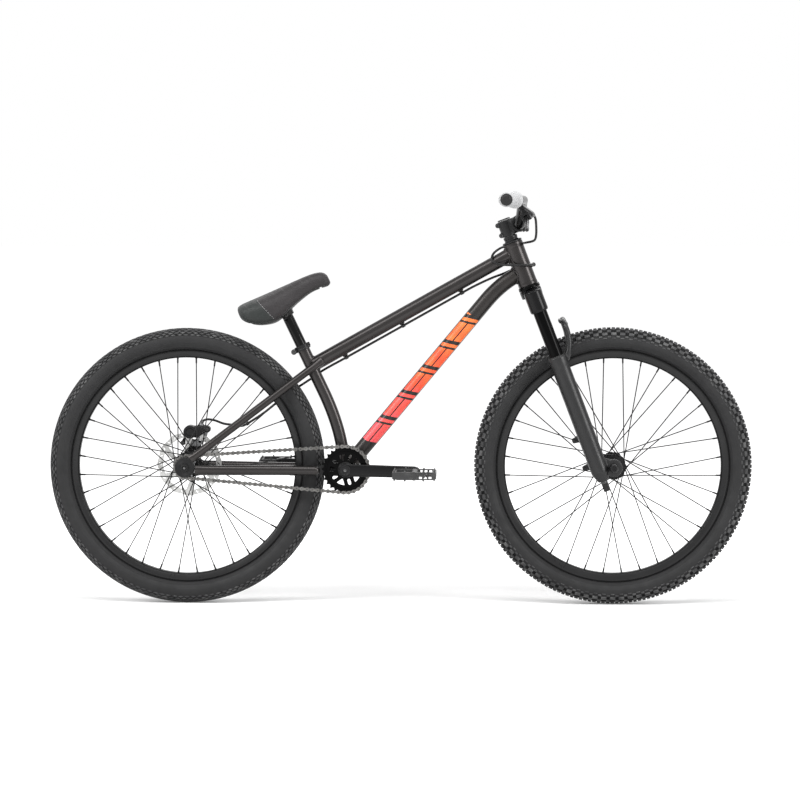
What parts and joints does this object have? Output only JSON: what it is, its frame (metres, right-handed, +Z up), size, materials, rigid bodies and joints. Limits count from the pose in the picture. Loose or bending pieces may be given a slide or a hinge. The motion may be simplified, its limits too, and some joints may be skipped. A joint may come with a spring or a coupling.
{
  "type": "dirt jump bike",
  "caption": "Hardtail dirt jump bicycle with a low saddle, wide riser bar, short travel fork, rear disc brake and a chain drive.",
  "frame": {"origin": "on the ground, half way along the bike and in its mid-plane", "axes": "+X forward, +Y to the rider's left, +Z up; the chain is on the -Y side"},
  "size_m": [1.7186, 0.78, 1.0078],
  "materials": {
    "frame": "satin",
    "black_metal": "satin",
    "stanchion": "gloss",
    "tyre": "matte",
    "spokes": "satin",
    "steel": "brushed",
    "grey_metal": "satin",
    "grip": "matte",
    "saddle_cover": "matte",
    "plastic": "matte",
    "hose": "satin"
  },
  "bodies": {
    "frame": {"head_tube": "frame", "headset_lower_cup": "black_metal", "headset_upper_cup": "black_metal", "top_tube": "frame", "down_tube": "frame", "seat_tube": "frame", "bottom_bracket_shell": "frame", "seatstay_right": "frame", "chainstay_right": "frame", "dropout_right": "black_metal", "seatstay_left": "frame", "chainstay_left": "frame", "dropout_left": "black_metal", "bottom_bracket_cup_right": "black_metal", "bottom_bracket_cup_left": "black_metal", "seat_clamp": "black_metal", "rear_axle": "spokes", "chain": "steel", "brake_caliper": "black_metal", "caliper_adapter": "grey_metal", "brake_hose_rear": "hose"},
    "post": {"seat_post": "black_metal"},
    "saddle": {"saddle_cover": "saddle_cover", "saddle_base": "plastic"},
    "steering": {"fork_crown": "black_metal", "stanchion_right": "stanchion", "stanchion_left": "stanchion", "stem_body": "black_metal", "stem_faceplate": "black_metal", "stem_cap": "black_metal", "handlebar": "black_metal", "grip_right": "grip", "grip_left": "grip", "brake_lever_body": "black_metal", "brake_hose_front": "hose"},
    "lever": {"brake_lever_blade": "black_metal"},
    "lowers": {"fork_lowers": "black_metal", "front_axle": "black_metal"},
    "knob": {"rebound_knob": "grey_metal"},
    "front_wheel": {"front_tyre": "tyre", "front_rim": "black_metal", "front_hub": "black_metal", "front_spokes_right": "spokes", "front_spokes_left": "spokes"},
    "rear_wheel": {"rear_tyre": "tyre", "rear_rim": "black_metal", "rear_hub": "black_metal", "rear_spokes_right": "spokes", "rear_spokes_left": "spokes", "brake_rotor": "steel"},
    "cog": {"rear_cog": "steel"},
    "crank": {"sprocket": "black_metal", "crank_arm_right": "black_metal", "crank_arm_left": "black_metal", "pedal_axle_right": "steel", "pedal_axle_left": "steel"},
    "right_pedal": {"pedal_right": "black_metal"},
    "left_pedal": {"pedal_left": "black_metal"},
    "inner_pad": {"brake_pad_inner": "grey_metal"},
    "outer_pad": {"brake_pad_outer": "grey_metal"}
  },
  "joints": [
    {"name": "steer", "type": "hinge", "parent": "frame", "child": "steering", "pos_m": [0.31322, 0, 0.77981], "axis": [-0.3551, 0, 0.9348], "range_deg": [-90, 90], "deforming": ["brake_hose_front"]},
    {"name": "fork_travel", "type": "slide", "parent": "steering", "child": "lowers", "axis": [-0.3551, 0, 0.9348], "range_m": [0, 0.1], "stiffness_N_per_m": 9000, "springref_m": -0.014},
    {"name": "front_wheel_spin", "type": "hinge", "parent": "lowers", "child": "front_wheel", "pos_m": [0.52025, 0, 0.339], "axis": [0, 1, 0], "continuous": true},
    {"name": "rebound_turn", "type": "hinge", "parent": "lowers", "child": "knob", "pos_m": [0.50068, -0.062, 0.29477], "axis": [-0.3551, 0, 0.9348], "range_deg": [-170, 170]},
    {"name": "lever_pull", "type": "hinge", "parent": "steering", "child": "lever", "pos_m": [0.30597, -0.2347, 0.94379], "axis": [-0.8554, 0.135, -0.5], "range_deg": [0, 20], "stiffness_Nm_per_rad": 0.8, "springref_deg": -11.46},
    {"name": "inner_pad_slide", "type": "slide", "parent": "frame", "child": "inner_pad", "axis": [0, 1, 0], "range_m": [0, 0.0004]},
    {"name": "outer_pad_slide", "type": "slide", "parent": "frame", "child": "outer_pad", "axis": [0, -1, 0], "range_m": [0, 0.0004]},
    {"name": "rear_wheel_spin", "type": "hinge", "parent": "frame", "child": "rear_wheel", "pos_m": [-0.52175, 0, 0.3375], "axis": [0, 1, 0], "continuous": true},
    {"name": "crank_turn", "type": "hinge", "parent": "frame", "child": "crank", "pos_m": [-0.13109, 0, 0.332], "axis": [0, 1, 0], "continuous": true},
    {"name": "cog_turn", "type": "hinge", "parent": "frame", "child": "cog", "pos_m": [-0.52175, 0, 0.3375], "axis": [0, 1, 0], "continuous": true},
    {"name": "right_pedal_spin", "type": "hinge", "parent": "crank", "child": "right_pedal", "pos_m": [0.03887, 0, 0.32844], "axis": [0, 1, 0], "continuous": true},
    {"name": "left_pedal_spin", "type": "hinge", "parent": "crank", "child": "left_pedal", "pos_m": [-0.30105, 0, 0.33556], "axis": [0, 1, 0], "continuous": true},
    {"name": "post_slide", "type": "slide", "parent": "frame", "child": "post", "axis": [-0.4305, 0, 0.9026], "range_m": [-0.025, 0.01]},
    {"name": "saddle_tilt", "type": "hinge", "parent": "post", "child": "saddle", "pos_m": [-0.27679, 0, 0.70751], "axis": [0, 1, 0], "range_deg": [-5, 8]}
  ],
  "couplings": [
    {"joint": "cog_turn", "follows": "crank_turn", "ratio": 2.1538},
    {"joint": "inner_pad_slide", "follows": "lever_pull", "m_per_rad": 0.001},
    {"joint": "outer_pad_slide", "follows": "lever_pull", "m_per_rad": 0.001}
  ]
}
